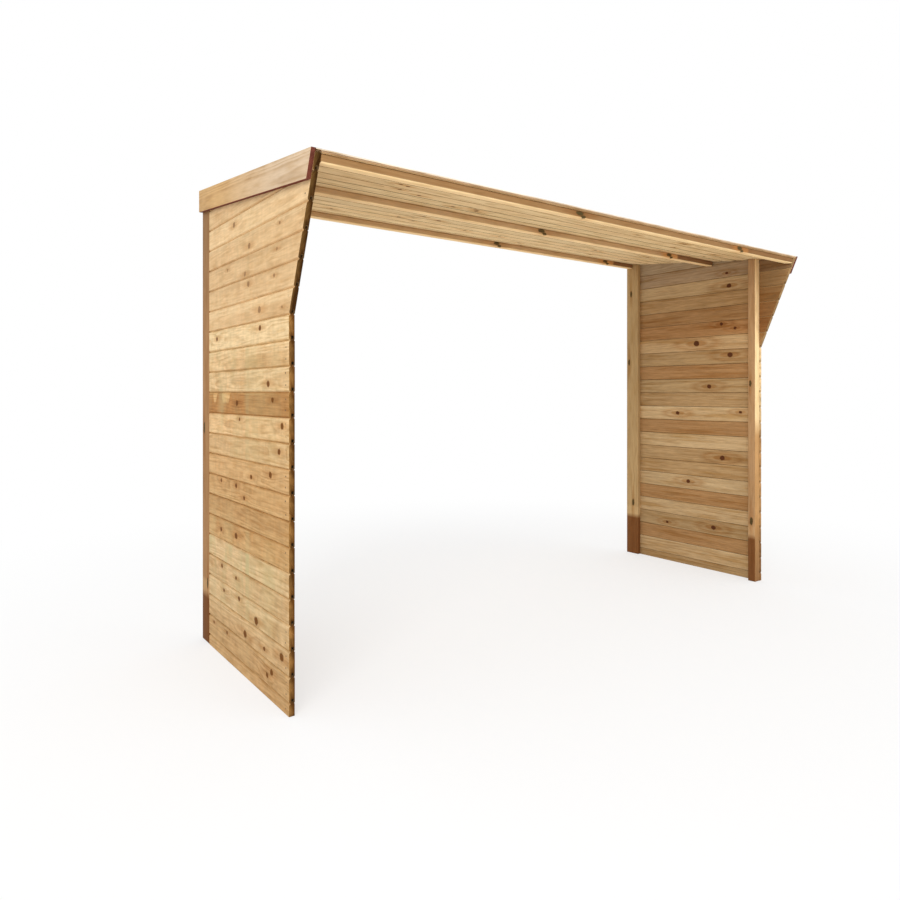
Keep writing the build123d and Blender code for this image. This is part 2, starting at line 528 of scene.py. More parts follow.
def pine(name, knot_colour, ring_width, shares, relief, roughness, saw_pitch=0.0, knot_length=1.2,
         bands=(7.0, 34.0), halo=((0.23, 0.5), (0.63, 0.0)), curl=0.0):
    """Pine whose rings, streaks, sapwood and knots lie in each piece as they grew.

    Summer wood is darker and a little glossier than spring wood, and stands proud of it. relief is
    the depth of its bumps, shares are how strongly the rings, the fibre streaks and the resin
    stretches show, saw_pitch is how far apart the saw's marks are, knot_length is a knot's length
    for its width, bands are the resin stretches' counts a metre along and across the grain, halo
    is how dark the wood is round a knot, out to three times its reach, and curl is how strongly
    the fibres' waves show.
    """
    ring_share, streak_share, resin_share = shares
    colours = bpy.context.scene.log_store_colours
    material, add = new_material(name)
    place = add("Attribute", output="Vector", attribute_name="timber")
    face_colour = add("Attribute", output="Color", attribute_name="stain")
    green = add("Attribute", output="Alpha", attribute_name="stain")
    radius = bent_radius(add, place, 0.018)
    round_reach = knot_reach(add, place, 1 / knot_length)
    long_reach = knot_reach(add, place, 0.31 / knot_length)
    late_wood = growth_rings(add, place, radius, long_reach, ring_width)
    split = sapwood_split(add, place, radius)
    stained = add("VectorMath", (face_colour, split), operation="MULTIPLY")

    # Rings that fade in and out over patches about 150 mm across.
    patches = add("TexNoise", {"Vector": place, "Scale": 7.0, "Detail": 2.0})
    ring_level = add("MapRange", (patches, 0.35, 0.65, 0.3 * ring_share, ring_share))
    ring_mask = add("Math", (late_wood, ring_level), operation="MULTIPLY")
    summer_wood = (0.60, 0.47, 0.30, 1.0)
    ringed = add("Mix", {0: ring_mask, 6: stained, 7: summer_wood}, 2, **MULTIPLY_MIX)

    # Fibre bundles 6 mm across and 60 mm long with finer ones in them, as coarse as they need to
    # show, and the waves that planing raises in them, 45 mm across and 24 mm long.
    fibre_place = add("VectorMath", (place, (16.0, 160.0, 160.0)), operation="MULTIPLY")
    fibres = add("TexNoise", {"Vector": fibre_place, "Scale": 1.0, "Detail": 4.0})
    curl_place = add("VectorMath", (place, (42.0, 22.0, 22.0)), operation="MULTIPLY")
    curls = add("TexNoise", {"Vector": curl_place, "Scale": 1.0, "Detail": 3.0})
    figure = add("Math", (curls, curl, fibres), operation="MULTIPLY_ADD")
    shift = 0.5 * curl
    streaks = add("MapRange", (figure, 0.3 + shift, 0.7 + shift, 1 - streak_share, 1 + streak_share))
    streaked = add("VectorMath", {0: ringed, "Scale": streaks}, operation="SCALE")

    # Warmer and darker stretches where more resin sits in the wood.
    along_count, across_count = bands
    drift_place = add(
        "VectorMath", (place, (along_count, across_count, across_count)), operation="MULTIPLY"
    )
    drift = add("TexNoise", {"Vector": drift_place, "Scale": 1.0, "Detail": 4.0})
    lean, resinous = (1.10, 1.12, 1.14, 1.0), (0.80, 0.70, 0.54, 1.0)
    warm = add("ValToRGB", (drift,), stops=((0.32, lean), (0.5, grey(1.0)), (0.66, resinous)))
    drifted = add("Mix", {0: resin_share, 6: streaked, 7: warm}, 2, **MULTIPLY_MIX)

    green_mask = preservative_share(add, green)
    greened = add("Mix", {0: green_mask, 6: drifted, 7: (*colours.resin_green, 1.0)}, 2, **COLOUR_MIX)

    # A knot: dark heart and bark ring, then darker, redder wood that tapers off along the grain.
    halo_reach = add("Math", (long_reach, 3.0), operation="DIVIDE")
    halo_mask = add("ValToRGB", (halo_reach,), stops=[(position, grey(level)) for position, level in halo])
    round_knot = (0.72, 0.53, 0.35, 1.0)
    haloed = add("Mix", {0: halo_mask, 6: greened, 7: round_knot}, 2, **MULTIPLY_MIX)
    knot_mask = add("MapRange", (round_reach, 0.72, 1.15, 0.94, 0.0), **SMOOTH)
    heart, rim = (*knot_colour, 1.0), (*colours.knot_rim, 1.0)
    knot_shades = add(
        "ValToRGB", (round_reach,), stops=((0.0, rim), (0.25, heart), (0.7, heart), (1.0, rim))
    )
    wood = add("Mix", {0: knot_mask, 6: haloed, 7: knot_shades}, 2, **COLOUR_MIX)

    ridge = add("Math", (late_wood, 0.5, fibres), operation="MULTIPLY_ADD")
    if saw_pitch:
        # At scale 1 a wave's bands are a tenth of pi metres apart.
        saw_wave = add(
            "TexWave",
            {"Vector": place, "Scale": math.pi / 10 / saw_pitch, "Distortion": 1.5, "Detail": 2.0,
             "Detail Scale": 3.0},
            output="Fac", wave_type="BANDS", bands_direction="X",
        )
        ridge = add("Math", (saw_wave, 0.6, ridge), operation="MULTIPLY_ADD")
    bump = add("Bump", {"Strength": 0.6, "Distance": relief, "Height": ridge})
    gloss = add("MapRange", (ridge, 0.3, 1.2, roughness + 0.05, roughness - 0.07))
    shader = add(
        "BsdfPrincipled",
        {"Base Color": wood, "Roughness": gloss, "Normal": bump, "IOR": 1.5,
         "Specular IOR Level": 0.04},
    )
    add("OutputMaterial", (shader,))
    return material


def end_grain(name, ring_width):
    """A sawn end: open pores soak up preservative, so it is far darker than the face and dead matt."""
    material, add = new_material(name)
    place = add("Attribute", output="Vector", attribute_name="timber")
    face_colour = add("Attribute", output="Color", attribute_name="stain")
    radius = bent_radius(add, place, 0.004)
    late_wood = growth_rings(add, place, radius, knot_reach(add, place, 1.0), ring_width)
    # Pores gathered into specks 2.4 mm across, as coarse as they need to show, and damp patches
    # 36 mm across.
    pores = add("TexNoise", {"Vector": place, "Scale": 420.0, "Detail": 2.0})
    soak = add("TexNoise", {"Vector": place, "Scale": 28.0, "Detail": 2.0})
    soak_level = add("MapRange", (soak, 0.3, 0.7, 0.7, 1.35))
    soaked = add("VectorMath", {0: face_colour, "Scale": soak_level}, operation="SCALE")
    ringed = add("Mix", {0: late_wood, 6: soaked, 7: (0.66, 0.58, 0.5, 1.0)}, 2, **MULTIPLY_MIX)
    pored = add("Mix", {0: pores, 6: ringed, 7: (0.7, 0.66, 0.6, 1.0)}, 2, **MULTIPLY_MIX)
    bump = add("Bump", {"Strength": 0.7, "Distance": 0.0004, "Height": pores})
    shader = add(
        "BsdfPrincipled",
        {"Base Color": pored, "Roughness": 0.9, "Normal": bump, "IOR": 1.5,
         "Specular IOR Level": 0.03},
    )
    add("OutputMaterial", (shader,))
    return material


def galvanised_steel_nail(colours):
    """Hot-dipped zinc on steel: dull grey, browned by the wood, with spangles about 1 mm across."""
    material, add = new_material("galvanised_steel_nail")
    place = add("TexCoord", output="Object")
    spangle = add("TexNoise", {"Vector": place, "Scale": 900.0, "Detail": 2.0})
    zinc = add(
        "ValToRGB", (spangle,), stops=((0.3, (*colours.zinc_dark, 1.0)), (0.7, (*colours.zinc, 1.0)))
    )
    gloss = add("MapRange", (spangle, 0.0, 1.0, 0.7, 0.45))
    shader = add("BsdfPrincipled", {"Base Color": zinc, "Roughness": gloss, "Metallic": 1.0})
    add("OutputMaterial", (shader,))
    return material


# ---- walls --------------------------------------------------------------------------------------
# Knots listed as course: (behind the plumb edge, up from the board's bottom, radius).
left_wall_knots = {
    20: ((0.545, 0.055, 0.011),),
    19: ((0.375, 0.030, 0.011), (0.080, 0.062, 0.006)),
    18: ((0.420, 0.017, 0.009), (0.105, 0.062, 0.006), (0.620, 0.060, 0.006)),
    17: ((0.385, 0.062, 0.011), (0.130, 0.060, 0.006)),
    16: ((0.270, 0.040, 0.012), (0.060, 0.030, 0.005)),
    15: ((0.265, 0.060, 0.011), (0.755, 0.050, 0.010), (0.890, 0.045, 0.009)),
    13: ((0.186, 0.030, 0.012),),
    12: ((0.145, 0.060, 0.010), (0.510, 0.045, 0.012)),
    11: ((0.060, 0.058, 0.012), (0.480, 0.070, 0.007)),
    10: ((0.086, 0.056, 0.011),),
    9: ((0.355, 0.031, 0.010), (0.165, 0.056, 0.012)),
    8: ((0.700, 0.072, 0.008), (0.520, 0.068, 0.010), (0.430, 0.030, 0.009)),
    6: ((0.700, 0.043, 0.010), (0.520, 0.044, 0.013)),
    4: ((0.690, 0.067, 0.009), (0.520, 0.053, 0.008)),
    3: ((0.303, 0.027, 0.016), (0.486, 0.066, 0.010), (0.665, 0.060, 0.009)),
    2: ((0.419, 0.034, 0.015), (0.064, 0.052, 0.015), (0.224, 0.034, 0.009)),
    1: ((0.153, 0.058, 0.012), (0.195, 0.036, 0.010), (0.795, 0.070, 0.007), (0.627, 0.070, 0.007)),
}
right_wall_knots = {
    21: ((0.210, 0.026, 0.008),),
    20: ((0.195, 0.035, 0.014),),
    17: ((0.155, 0.039, 0.009), (0.245, 0.070, 0.010)),
    16: ((0.420, 0.048, 0.018),),
    15: ((0.188, 0.055, 0.016),),
    13: ((0.330, 0.040, 0.013),),
    11: ((0.560, 0.045, 0.012), (0.120, 0.060, 0.009)),
    8: ((0.240, 0.040, 0.015),),
    6: ((0.480, 0.050, 0.012),),
    3: ((0.300, 0.045, 0.014), (0.640, 0.030, 0.009)),
}
# Nested ovals of grain, as course: (behind the plumb edge, up from the board's bottom, rings).
left_wall_flames = {
    15: (0.480, 0.040, 2.5), 14: (0.200, 0.045, 3.2), 9: (0.250, 0.050, 2.5), 4: (0.160, 0.040, 2.5),
}
# The highest course below the knee.
KNEE_COURSE = 15
CLADDING_SAPWOOD = (1.08, 1.13, 1.18)
# The course of dark heartwood. On the left wall much paler sapwood cuts lobes into its outer face:
# where along Y, how deep in from that face, and the sapwood's tint.
DARK_COURSE = 12
LOBES_AT_Y = 0.32
LOBE_SKIN = 0.01
LOBE_SAPWOOD = (1.45, 1.85, 2.4)
# Share of green by course; the rest have a trace.
GREEN_COURSES = {3: 0.3, 4: 0.4, 5: 0.65, 6: 0.25, 10: 0.25, 11: 0.3, 12: 0.3, 13: 0.25, 14: 0.3}
GREEN_TRACE = 0.08
# How the courses' inner faces look, lowest first; the rest are plain.
PALE_INSIDE = (1, 4, 6, 9, 11, 16, 20)
RED_INSIDE = (2, 5, 10, 14, 17, 18)
GREY_INSIDE = (21, 22)
# Above the knee, how far below a joint the boards are darker with painted shade, and where that has faded.
JOINT_SHADE_BAND = (0.020, 0.034)
# How far behind the front edge the inside of a wall is darkened with painted shade.
FRONT_SHADE_STRIP = 0.045
# Heights where the front posts' and the right wall's front faces turn from painted shade to a painted
# highlight.
HIGHLIGHT_FROM = (0.85, 0.96)
# A place past every other colour stop.
FAR = 9.0


def board_blank(sizes):
    """The right-hand wall's tongued and grooved board at course height 0, longer than needed."""
    spare = 0.03
    piece = start_block(
        "board_blank", (inner_x, front_y - spare, 0),
        (outer_x, wall_back_y + spare, sizes.board_cover - sizes.joint_gap),
    )
    cut((0, edge_y, 0), y_axis)
    cut((0, edge_y + FRONT_SHADE_STRIP, 0), y_axis)
    middle_x = outer_x - sizes.tongue_depth
    for width in (sizes.tongue_thickness, sizes.groove_width):
        for side in (-1, 1):
            cut((middle_x + side * width / 2, 0, 0), x_axis)
    for width, way, height in (
        (sizes.tongue_thickness, 1, sizes.tongue_height), (sizes.groove_width, -1, sizes.groove_depth),
    ):
        select(
            piece, "faces",
            lambda face: face.normal.z * way > 0.9
            and abs(face.calc_center_median().x - middle_x) < width / 2,
        )
        pull_out((0, 0, height))
    for face_x, chamfer in ((outer_x, sizes.v_joint), (inner_x, sizes.inner_chamfer)):
        chamfer_edges(piece, chamfer, y_axis, lambda corner: abs(corner.x - face_x) < 0.0001)
    # Cuts for the painted shade below each joint.
    for below in JOINT_SHADE_BAND:
        cut((0, 0, sizes.board_cover - below), z_axis)
    bpy.ops.object.mode_set(mode="OBJECT")
    return piece


def wall_courses(sizes):
    """Bottom and top of each course, lowest first."""
    cover = sizes.board_cover
    top = knee - math.floor(knee / cover) * cover
    courses = [(top - cover, top)]
    while top < upper_high.z:
        courses.append((top, top + cover))
        top += cover
    return courses


def trim_board(number, bottom, draw):
    """Cuts a board to the wall's outline, its sawn end a little behind the line."""
    set_back = draw.uniform(0.0, 0.0012)
    if bottom < knee - 0.01:
        cut((0, edge_y + set_back, 0), -y_axis, clear=True)
    else:
        cut(Vector((0, edge_y, knee)) - set_back * flare_way, flare_way, clear=True)
        cut(eaves - roof_thickness * off_slope, off_slope, clear=True)
    cut((0, wall_back_y, 0), y_axis, clear=True)
    if number == 0:
        cut((0, 0, 0), -z_axis, clear=True)


def outside_colour(number, colours):
    """The colour of a course's outside: the boards came from different packs."""
    if number == DARK_COURSE:
        return colours.cladding_dark
    if number > KNEE_COURSE:
        return colours.cladding_high
    stops = (
        (0, colours.cladding_low), (1, colours.cladding_low), (2.4, colours.cladding_green),
        (5, colours.cladding_green), (6, colours.cladding_worn), (7.4, colours.cladding_worn),
        (11, colours.cladding_middle), (13, colours.cladding_upper), (14, colours.cladding_upper),
        (KNEE_COURSE, colours.cladding_knee),
    )
    return colour_along(stops, number)


def inside_colour(number, colours):
    """The colour of a course's inside."""
    if number in PALE_INSIDE:
        return colours.inside_pale
    if number in RED_INSIDE:
        return colours.inside_red
    return colours.inside_grey if number in GREY_INSIDE else colours.inside_plain


def front_face_colour(height, colours):
    """The colour of the front posts' and the right wall's front faces: dark at the foot, painted shade
    below the waist and a painted highlight above it.
    """
    foot = blend_colours(colours.framing_dark, colours.framing, 0.45)
    shade_colour, highlight_colour = colours.framing_painted_shade, colours.framing_painted_highlight
    stops = (
        (0.0, foot), (0.2, foot), (0.35, shade_colour), (HIGHLIGHT_FROM[0], shade_colour), (HIGHLIGHT_FROM[1], highlight_colour),
        (FAR, highlight_colour),
    )
    return colour_along(stops, height)


def wall_board_stain(side, number, top, colours, draw):
    """Gives each kind of a wall board's faces its colour."""
    outer_skin, v_joint_depth, inner_joint_depth = 0.0015, 0.006, 0.004
    high = number > KNEE_COURSE
    level = draw.uniform(0.95, 1.04)
    outside = outside_colour(number, colours)
    front_outside = tinted(outside, (1.0, 1.08, 1.22)) if number == DARK_COURSE else outside
    green = GREEN_COURSES.get(number, GREEN_TRACE)
    plain = reddened(inside_colour(number, colours), draw.uniform(-0.03, 0.03))
    inside_level = draw.uniform(0.94, 1.06)
    inside = shade(plain, inside_level)
    front_shade = shade(tinted(inside, (0.63, 0.54, 0.45)))
    lit_joint = shade(plain, 1.15 * inside_level)
    # The V-joint's chamfers are darker than the face, partly painted shade in the groove; the faces in the
    # gap and round the tongue are painted dark as shade.
    v_joint = shade(tinted(outside, (0.93, 0.89, 0.82) if high else (0.86, 0.80, 0.69)), level)
    gap_shade = shade(colours.inside_plain, 0.60 if high else 0.33)
    thickness = outer_x - inner_x
    end_level = 0.6 if high else draw.uniform(0.95, 1.35)

    def colour_at(point, face):
        depth = outer_x - abs(point.x)
        if abs(face.normal.y) > 0.6:
            if side == "left":
                rim_share = (depth - 0.002) / 0.007
                return shade(blend_colours(colours.end_rim, colours.end_grain, rim_share), end_level)
            # Below the knee the right wall's front ends take the front posts' colours, with their painted
            # shade and painted highlight.
            return shade(colours.inside_plain if high else front_face_colour(point.z, colours))
        if depth < outer_skin:
            # Paler and greener towards the back.
            back_share = (point.y - edge_y) / (wall_back_y - edge_y)
            here = blend_colours(front_outside, outside, 1.3 * back_share - 0.1)
            # Painted shade just below each joint above the knee.
            in_joint_shade = number > KNEE_COURSE + 1 and top - point.z < JOINT_SHADE_BAND[0] + 0.001
            here_level = level * (0.94 if in_joint_shade else 1.0) * (0.95 + 0.12 * back_share)
            return shade(here, here_level, green * (0.4 + 0.9 * back_share))
        if face.normal.x * point.x < 0 and abs(face.normal.x) > 0.9:
            # Painted shade: the inner face darkens towards the front edge.
            return blend_colours(inside, front_shade, 1 - (point.y - edge_y) / FRONT_SHADE_STRIP)
        if depth > thickness - inner_joint_depth and face.normal.z > 0.3:
            return lit_joint
        return v_joint if depth < v_joint_depth and abs(face.normal.x) > 0.3 else gap_shade

    return colour_at


def lay_board_grain(board, side, number, bottom, top, draw):
    """Gives a wall board its place in the tree, with its knots and its flame."""
    way = 1 if side == "right" else -1
    heart_x = way * (inner_x - draw.uniform(0.01, 0.05))
    heart_z = (bottom + top) / 2 + draw.uniform(-0.025, 0.025)
    heartwood, lobe_depth = draw.uniform(0.055, 0.095), 0.0
    if side == "left" and number == DARK_COURSE:
        heart_x, heart_z = way * (inner_x - 0.03), bottom + 0.008
        heartwood, lobe_depth = 0.092, 0.027
    heart = Vector((heart_x, draw.uniform(*UP_THE_TREE), heart_z))
    flame = Vector((0, edge_y + draw.uniform(0.05, 0.8), bottom + draw.uniform(0.03, 0.06)))
    rise = draw.uniform(0.0, 3.0)
    if side == "left" and number in left_wall_flames:
        behind, up, rise = left_wall_flames[number]
        flame = Vector((0, edge_y + behind, bottom + up))
    knots = [
        (Vector((0, edge_y + behind, bottom + up)), radius)
        for behind, up, radius in (left_wall_knots if side == "left" else right_wall_knots).get(number, ())
    ]
    grows = draw.choice((-1, 1)) * y_axis
    lobes = (LOBES_AT_Y * y_axis - heart).dot(grows)
    lay_grain(board, grows, z_axis, heart, knots, flame, rise, (heartwood, lobe_depth, lobes))


class LOGSTORE_OT_wall_boards(bpy.types.Operator):
    """Build the tongued and grooved boards of both walls"""

    bl_idname = "log_store.wall_boards"
    bl_label = "Wall Boards"

    def execute(self, context):
        sizes = context.scene.log_store_sizes
        colours = context.scene.log_store_colours
        # Planed pine cladding under green preservative: satin, with wavy fibres and crisp knots.
        face = pine(
            "planed_pine_cladding", colours.knot, 0.008, (0.6, 0.13, 0.5), 0.0006, 0.68,
            bands=(12.0, 55.0), curl=0.6,
        )
        # The same, bleached by more sun above the knee, with fainter rings and knots.
        faint_knot = blend_colours(colours.knot, colours.cladding_high, 0.3)
        high_face = pine(
            "planed_pine_cladding_high", faint_knot, 0.008, (0.36, 0.09, 0.35), 0.0006, 0.68,
            bands=(12.0, 55.0), curl=0.6,
        )
        # Inside, out of the sun, resin has turned long stretches of the wood warm and dark.
        inner_face = pine(
            "planed_pine_cladding_inside", colours.inner_knot, 0.009, (0.45, 0.14, 0.9), 0.0006, 0.68,
            bands=(2.5, 42.0), halo=((0.3, 0.75), (0.42, 0.12), (0.7, 0.5), (1.0, 0.0)),
        )
        ends = end_grain("sawn_pine_cladding_end", 0.0035)
        blank = board_blank(sizes)
        for side, way in (("right", 1), ("left", -1)):
            for number, (bottom, top) in enumerate(wall_courses(sizes)):
                draw = random.Random(f"{side} wall board {number}")
                board = copy_to_edit(blank, f"{side}_wall_board_{number + 1:02d}")
                # No two boards sit quite alike: each is set in and tipped by a hair.
                move_all((-draw.uniform(0.0, 0.0005), 0, bottom))
                for end in (-1, 1):
                    select(board, "verts", lambda vertex: (vertex.co.y - edge_y) * end > 0.1)
                    bpy.ops.transform.translate(value=(0, 0, draw.uniform(-0.00015, 0.00015)))
                trim_board(number, bottom, draw)
                if side == "left":
                    bpy.ops.mesh.select_all(action="SELECT")
                    bpy.ops.transform.resize(value=(-1, 1, 1), center_override=(0, 0, 0))
                    bpy.ops.mesh.normals_make_consistent(inside=False)
                round_edges(board, sizes.board_arris, 2, 60)
                lay_board_grain(board, side, number, bottom, top, draw)
                stain(board, wall_board_stain(side, number, top, colours, draw), CLADDING_SAPWOOD)
                if side == "left" and number == DARK_COURSE:
                    tints = board.data.attributes["sapwood"].data
                    for vertex in board.data.vertices:
                        if outer_x - abs(vertex.co.x) <= LOBE_SKIN:
                            tints[vertex.index].vector = LOBE_SAPWOOD

                def material_of_face(polygon, way=way):
                    if abs(polygon.normal.y) > 0.6:
                        return 1
                    return 2 if polygon.normal.x * way < -0.3 else 0

                part = "lower" if number <= KNEE_COURSE else "upper"
                outer_face = face if number <= KNEE_COURSE else high_face
                finish_piece(
                    board, (outer_face, ends, inner_face), material_of_face,
                    [f"{side}_wall_{part}"],
                )
        remove_master(blank)
        return {"FINISHED"}


# ---- posts --------------------------------------------------------------------------------------
# Knots listed as post: (height, behind the front face, radius).
post_knots = {
    "left_front_post": ((1.155, 0.030, 0.008), (0.350, 0.024, 0.009)),
    "right_front_post": ((1.155, 0.030, 0.008), (0.350, 0.024, 0.010)),
    "left_rear_post": ((0.943, 0.070, 0.011), (0.262, 0.022, 0.010)),
    "right_rear_post": ((1.780, 0.058, 0.009), (1.310, 0.075, 0.009), (0.350, 0.040, 0.010)),
}
# How high the dark feet reach, and above them where the paler band starts, ends and has faded.
LEFT_REAR_FOOT, OTHER_FOOT = 0.195, 0.245
FOOT_BAND = (0.03, 0.07, 0.09)
# Heights between which the left rear post darkens to its top.
TOP_FROM = (1.3, 1.8)


def post_stain(name, colours, foot):
    """Gives a post's faces their colours: a paler band above the dark foot."""
    framing = tinted(colours.framing, (0.99, 1.05, 1.22))
    dark, top_level = colours.framing_dark, 1.0
    if name == "right_rear_post":
        framing = colours.framing_green
    if name == "left_rear_post":
        framing = colours.framing_worn
        dark, top_level = tinted(dark, (0.92, 0.86, 0.72)), 0.79
    top = tinted(framing, (top_level,) * 3)
    pale = blend_colours(framing, colours.framing_painted_highlight, 0.15)
    pale_start, pale_end, faded = (foot + above for above in FOOT_BAND)
    stops = (
        (0.0, dark), (foot, dark), (pale_start, pale), (pale_end, pale), (faded, framing),
        (TOP_FROM[0], framing), (TOP_FROM[1], top), (FAR, top),
    )

    def colour_at(point, face):
        if abs(face.normal.z) > 0.6:
            return shade(colours.end_grain)
        # The front posts' front faces: painted shade below the waist, a painted highlight above it.
        if "front" in name and face.normal.y < -0.5:
            return shade(front_face_colour(point.z, colours))
        return shade(colour_along(stops, point.z))

    return colour_at


class LOGSTORE_OT_posts(bpy.types.Operator):
    """Build the four posts, their tops cut to the roof's slope"""

    bl_idname = "log_store.posts"
    bl_label = "Posts"

    def execute(self, context):
        sizes = context.scene.log_store_sizes
        colours = context.scene.log_store_colours
        # Planed framing pine: smoother than the boards, with faint rings and long, green-grey knots.
        face = pine(
            "planed_pine_framing", colours.framing_knot, 0.006, (0.3, 0.08, 0.4), 0.0005, 0.62,
            knot_length=2.6,
        )
        ends = end_grain("sawn_pine_framing_end", 0.003)
        for name, places in post_knots.items():
            draw = random.Random(name)
            low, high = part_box(name)
            post = start_block(f"{name}_timber", low, high)
            cut(eaves - roof_thickness * off_slope, off_slope, clear=True)
            foot = LEFT_REAR_FOOT if name == "left_rear_post" else OTHER_FOOT
            for height in (foot, *(foot + above for above in FOOT_BAND), *HIGHLIGHT_FROM, *TOP_FROM):
                cut((0, 0, height), z_axis)
            round_edges(post, sizes.post_arris, 3, 50)

            middle = (low + high) / 2
            heart = Vector((middle.x + 0.05, middle.y + 0.02, draw.uniform(*UP_THE_TREE)))
            knots = [(Vector((0, low.y + behind, height)), radius) for height, behind, radius in places]
            lay_grain(post, z_axis, y_axis, heart, knots)
            stain(post, post_stain(name, colours, foot))
            finish_piece(post, (face, ends), faces_along(z_axis), [name])
        return {"FINISHED"}


# ---- purlins ------------------------------------------------------------------------------------
# Knots listed as purlin: places along X of its double knots.
purlin_knots = {
    "front_purlin": (0.915, -0.270),
    "middle_purlin": (1.010, -0.010),
    "rear_purlin": (1.145, 0.205),
}
# A double knot: how far each knot is past its place and up from the lower face, and its radius.
DOUBLE_KNOT = ((0.0, 0.011, 0.0100), (0.022, 0.023, 0.0065))
# Along X from the outermost knot: where a pale patch starts, is palest, ends and has turned dark.
PATCH = (-0.08, -0.04, 0.07, 0.09)


def purlin_stain(name, colours, first_knot):
    """Gives a purlin's faces their colours: its end is dark from just past its outermost knot, and its
    underside is a painted highlight.
    """
    if name == "front_purlin":
        side_tint, pale_tint, end_share = (0.74, 0.73, 0.72), (1.4, 1.25, 1.05), 0.6
    else:
        side_tint, pale_tint, end_share = (1.20, 1.38, 1.70), (1.25, 1.08, 0.85), 0.2
    side = tinted(colours.framing, side_tint)
    pale = tinted(side, pale_tint)
    dark = blend_colours(colours.framing_dark, side, end_share)
    stops = [(-FAR, side)]
    stops += [(first_knot + past, part) for past, part in zip(PATCH, (side, pale, pale, dark))]
    stops.append((FAR, dark))

    def colour_at(point, face):
        if abs(face.normal.x) > 0.6:
            return shade(colours.end_grain)
        # Painted highlight: faces turned down blend into the paler framing colour, in place of light from
        # below.
        under = -face.normal.dot(off_slope)
        face_colour = colour_along(stops, point.x)
        return shade(blend_colours(face_colour, colours.framing_painted_highlight, (under - 0.15) / 0.4))

    return colour_at


class LOGSTORE_OT_purlins(bpy.types.Operator):
    """Build the three purlins under the roof"""

    bl_idname = "log_store.purlins"
    bl_label = "Purlins"

    def execute(self, context):
        sizes = context.scene.log_store_sizes
        colours = context.scene.log_store_colours
        # Planed framing pine, with well rounded edges that catch the light and double knots.
        face = pine(
            "planed_pine_purlin", colours.framing_knot, 0.006, (0.3, 0.08, 0.4), 0.0005, 0.62,
            knot_length=2.4,
        )
        ends = end_grain("sawn_pine_purlin_end", 0.003)
        for name, knot_places in purlin_knots.items():
            draw = random.Random(name)
            low, high = slope_box(name)
            purlin = start_slope_block(f"{name}_timber", low, high)
            for past in PATCH:
                cut((knot_places[0] + past, 0, 0), x_axis)
            round_edges(purlin, sizes.purlin_arris, 4, 50)

            heart = from_slope(draw.uniform(*UP_THE_TREE), low.y - 0.03, high.z + 0.05)
            knots = [
                (from_slope(place + past, 0, low.z + up), radius)
                for place in knot_places for past, up, radius in DOUBLE_KNOT
            ]
            lay_grain(purlin, x_axis, off_slope, heart, knots)
            stain(purlin, purlin_stain(name, colours, knot_places[0]))
            finish_piece(purlin, (face, ends), faces_along(x_axis), [name])
        return {"FINISHED"}


# ---- roof ---------------------------------------------------------------------------------------
def roof_board_stain(number, colours, draw):
    """Gives a roof board's faces their colours; the front edge is dark over the left wall."""
    redness = draw.uniform(-0.015, 0.015)
    level = draw.uniform(0.96, 1.04)
    joint = shade(colours.roofing_joint, draw.uniform(0.7, 3.2))
    last = number == len(roof_boards) - 1

    def colour_at(point, face):
        faces_down, faces_up_slope = -face.normal.dot(off_slope), face.normal.dot(up_slope)
        if abs(face.normal.x) > 0.6:
            return shade(colours.end_grain)
        # Painted light: the undersides take a paler colour than the tops, against the shade under the
        # roof.
        if abs(faces_down) > 0.9:
            kind = colours.roofing if faces_down > 0 else colours.roofing_top
            return shade(reddened(kind, redness), level)
        if number == 0 and faces_up_slope < -0.2:
            if face.center.x < -inner_x:
                return shade(colours.end_grain, 0.6)
            # Painted highlight at the top of the front edge, turning to the purlins' framing colour lower
            # down.
            depth = on_slope(point).z / roof_thickness
            return shade(blend_colours(colours.roof_edge_highlight, colours.framing, (depth - 0.4) / 0.4))
        return shade(colours.roofing_top, 0.85) if last and faces_up_slope > 0.6 else joint

    return colour_at


def roof_blank(sizes):
    """The first roof board with its lap and groove, before its ends and its front edge are sawn."""
    gap = roof_cover - (roof_high.y - roof_low.y)
    lap_from, lap_to = 0.35 * roof_thickness, 0.65 * roof_thickness
    blank = start_slope_block("roof_blank", roof_low, roof_high)
    for below in (lap_from, lap_to):
        cut(from_slope(0, 0, below), off_slope)
    for way, reach in ((1, sizes.roof_lap), (-1, sizes.roof_lap + gap)):
        select(
            blank, "faces",
            lambda face: face.normal.dot(up_slope) * way > 0.9
            and lap_from < on_slope(face.calc_center_median()).z < lap_to,
        )
        pull_out(reach * up_slope)
    chamfer_edges(
        blank, sizes.roof_chamfer, x_axis, lambda corner: abs(on_slope(corner).z - roof_thickness) < 0.0001
    )
    cut((inner_x, 0, 0), x_axis)
    cut((-inner_x, 0, 0), x_axis)
    bpy.ops.object.mode_set(mode="OBJECT")
    return blank


